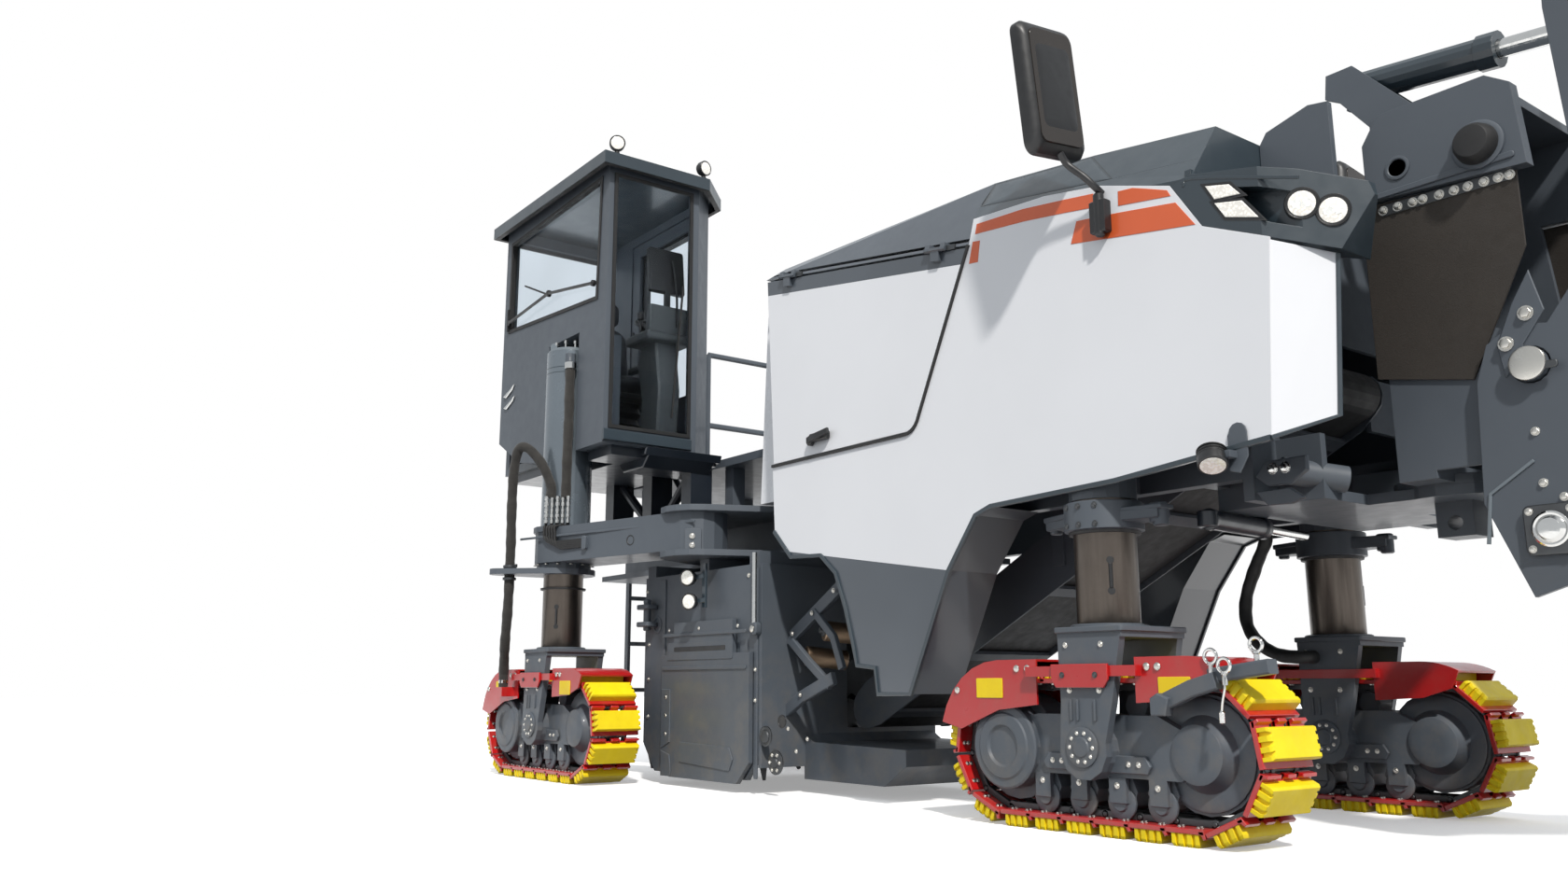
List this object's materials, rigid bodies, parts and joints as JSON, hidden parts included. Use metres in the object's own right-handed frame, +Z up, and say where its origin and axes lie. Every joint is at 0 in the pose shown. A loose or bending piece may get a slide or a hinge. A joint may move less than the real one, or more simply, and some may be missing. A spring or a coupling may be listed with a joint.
{
  "type": "cold planer milling machine",
  "caption": "Compact road milling machine on four steered crawlers with lifting columns, a cross milling drum, rear cabin and a front discharge conveyor that lifts and slews.",
  "frame": {"origin": "middle of the bounding box on the ground plane under the crawlers", "axes": "+X forward along the machine and its conveyor, +Y to the left, +Z up"},
  "size_m": [11.3492, 2.672, 5.1816],
  "materials": {
    "white": "gloss white paint",
    "grey": "satin basalt grey paint",
    "dark": "satin dark teal grey paint",
    "red": "gloss red paint",
    "yellow": "moulded polyurethane",
    "steel": "ground steel",
    "iron": "cast iron and worn steel",
    "rubber": "black rubber",
    "glass": "tinted safety glass",
    "cloth": "dark seat cloth"
  },
  "bodies": {
    "chassis": {"main_frame": "grey", "swing_arm": "grey", "drum_housing": "grey", "side_panel_right": "white", "side_panel_left": "white", "hood": "dark", "front_cover": "dark", "engine_block": "iron", "rear_cooler": "white", "pickup_conveyor": "grey", "pickup_belt": "rubber", "cabin_floor": "dark", "cabin_wall_right": "grey", "cabin_wall_front": "grey", "cabin_wall_left": "grey", "cabin_wall_rear": "grey", "cabin_roof": "dark", "glass_right": "glass", "glass_front": "glass", "glass_rear": "glass", "cabin_mount": "grey", "operator_seat": "cloth", "control_desk": "dark", "operator_deck": "grey", "mirror_right": "rubber", "mirror_left": "rubber", "hose_rear_right": "rubber"},
    "crawler_front_right": {"track_front_right": "yellow", "crawler_frame_front_right": "grey", "column_front_right": "steel", "track_guard_front_right": "red"},
    "crawler_front_left": {"track_front_left": "yellow", "crawler_frame_front_left": "grey", "column_front_left": "steel", "track_guard_front_left": "red", "hose_crawler_front_left": "rubber"},
    "crawler_rear_right": {"track_rear_right": "yellow", "crawler_frame_rear_right": "grey", "column_rear_right": "steel", "track_guard_rear_right": "red", "hose_crawler_rear_right": "rubber"},
    "crawler_rear_left": {"track_rear_left": "yellow", "crawler_frame_rear_left": "grey", "column_rear_left": "steel", "track_guard_rear_left": "red"},
    "drum": {"milling_drum": "iron"},
    "scraper": {"rear_scraper": "grey"},
    "edge_right": {"edge_plate_right": "grey"},
    "edge_left": {"edge_plate_left": "grey"},
    "door_right": {"side_door_right": "white"},
    "door_left": {"side_door_left": "white"},
    "door_cabin": {"cabin_door": "grey", "glass_door": "glass"},
    "console": {"slew_console": "grey", "chute_skirt": "rubber"},
    "conveyor": {"discharge_conveyor": "grey", "discharge_belt": "rubber"},
    "lift_barrel": {"lift_cylinder_barrel": "dark"},
    "lift_rod": {"lift_cylinder_rod": "steel"}
  },
  "joints": [
    {"name": "steer_front_right", "type": "hinge", "parent": "chassis", "child": "crawler_front_right", "pos_m": [-1.35463, -0.564, 1.1], "axis": [0, 0, 1], "range_deg": [-20, 20]},
    {"name": "steer_front_left", "type": "hinge", "parent": "chassis", "child": "crawler_front_left", "pos_m": [-1.35463, 0.896, 1.1], "axis": [0, 0, 1], "range_deg": [-20, 20]},
    {"name": "steer_rear_right", "type": "hinge", "parent": "chassis", "child": "crawler_rear_right", "pos_m": [-4.75463, -0.964, 1.1], "axis": [0, 0, 1], "range_deg": [-12, 12]},
    {"name": "steer_rear_left", "type": "hinge", "parent": "chassis", "child": "crawler_rear_left", "pos_m": [-4.70463, 0.896, 1.1], "axis": [0, 0, 1], "range_deg": [-12, 12]},
    {"name": "drum_spin", "type": "hinge", "parent": "chassis", "child": "drum", "pos_m": [-3.79463, -0.144, 0.51], "axis": [0, 1, 0], "continuous": true},
    {"name": "scraper_swing", "type": "hinge", "parent": "chassis", "child": "scraper", "pos_m": [-4.31563, -0.144, 1.008], "axis": [0, 1, 0], "range_deg": [0, 75]},
    {"name": "edge_right_lift", "type": "slide", "parent": "chassis", "child": "edge_right", "axis": [0, 0, 1], "range_m": [0, 0.2]},
    {"name": "edge_left_lift", "type": "slide", "parent": "chassis", "child": "edge_left", "axis": [0, 0, 1], "range_m": [0, 0.2]},
    {"name": "door_right_hinge", "type": "hinge", "parent": "chassis", "child": "door_right", "pos_m": [-3.21663, -0.706, 2.418], "axis": [0.9865, 0, -0.1637], "range_deg": [-80, 0]},
    {"name": "door_left_hinge", "type": "hinge", "parent": "chassis", "child": "door_left", "pos_m": [-3.21663, 1.038, 2.418], "axis": [0.9865, 0, -0.1637], "range_deg": [0, 80]},
    {"name": "cabin_door_hinge", "type": "hinge", "parent": "chassis", "child": "door_cabin", "pos_m": [-5.25463, -0.242, 1.8], "axis": [0, 0, 1], "range_deg": [0, 90]},
    {"name": "conveyor_slew", "type": "hinge", "parent": "chassis", "child": "console", "pos_m": [-0.45463, 0.166, 1.11], "axis": [0, 0, 1], "range_deg": [-45, 45]},
    {"name": "conveyor_lift", "type": "hinge", "parent": "console", "child": "conveyor", "pos_m": [-0.08063, 0.166, 1.406], "axis": [0, 1, 0], "range_deg": [-3, 22]},
    {"name": "lift_barrel_swing", "type": "hinge", "parent": "console", "child": "lift_barrel", "pos_m": [-0.71463, 0.166, 2.64], "axis": [0, 1, 0], "range_deg": [-30, 30]},
    {"name": "lift_rod_slide", "type": "slide", "parent": "lift_barrel", "child": "lift_rod", "axis": [0.993, 0, -0.1182], "range_m": [-0.1, 0.5]}
  ],
  "couplings": [
    {"joint": "steer_front_left", "follows": "steer_front_right", "ratio": 1},
    {"joint": "steer_rear_left", "follows": "steer_rear_right", "ratio": 1},
    {"joint": "lift_barrel_swing", "follows": "conveyor_lift", "ratio": 0.1986},
    {"joint": "lift_rod_slide", "follows": "conveyor_lift", "m_per_rad": 1.1305}
  ]
}
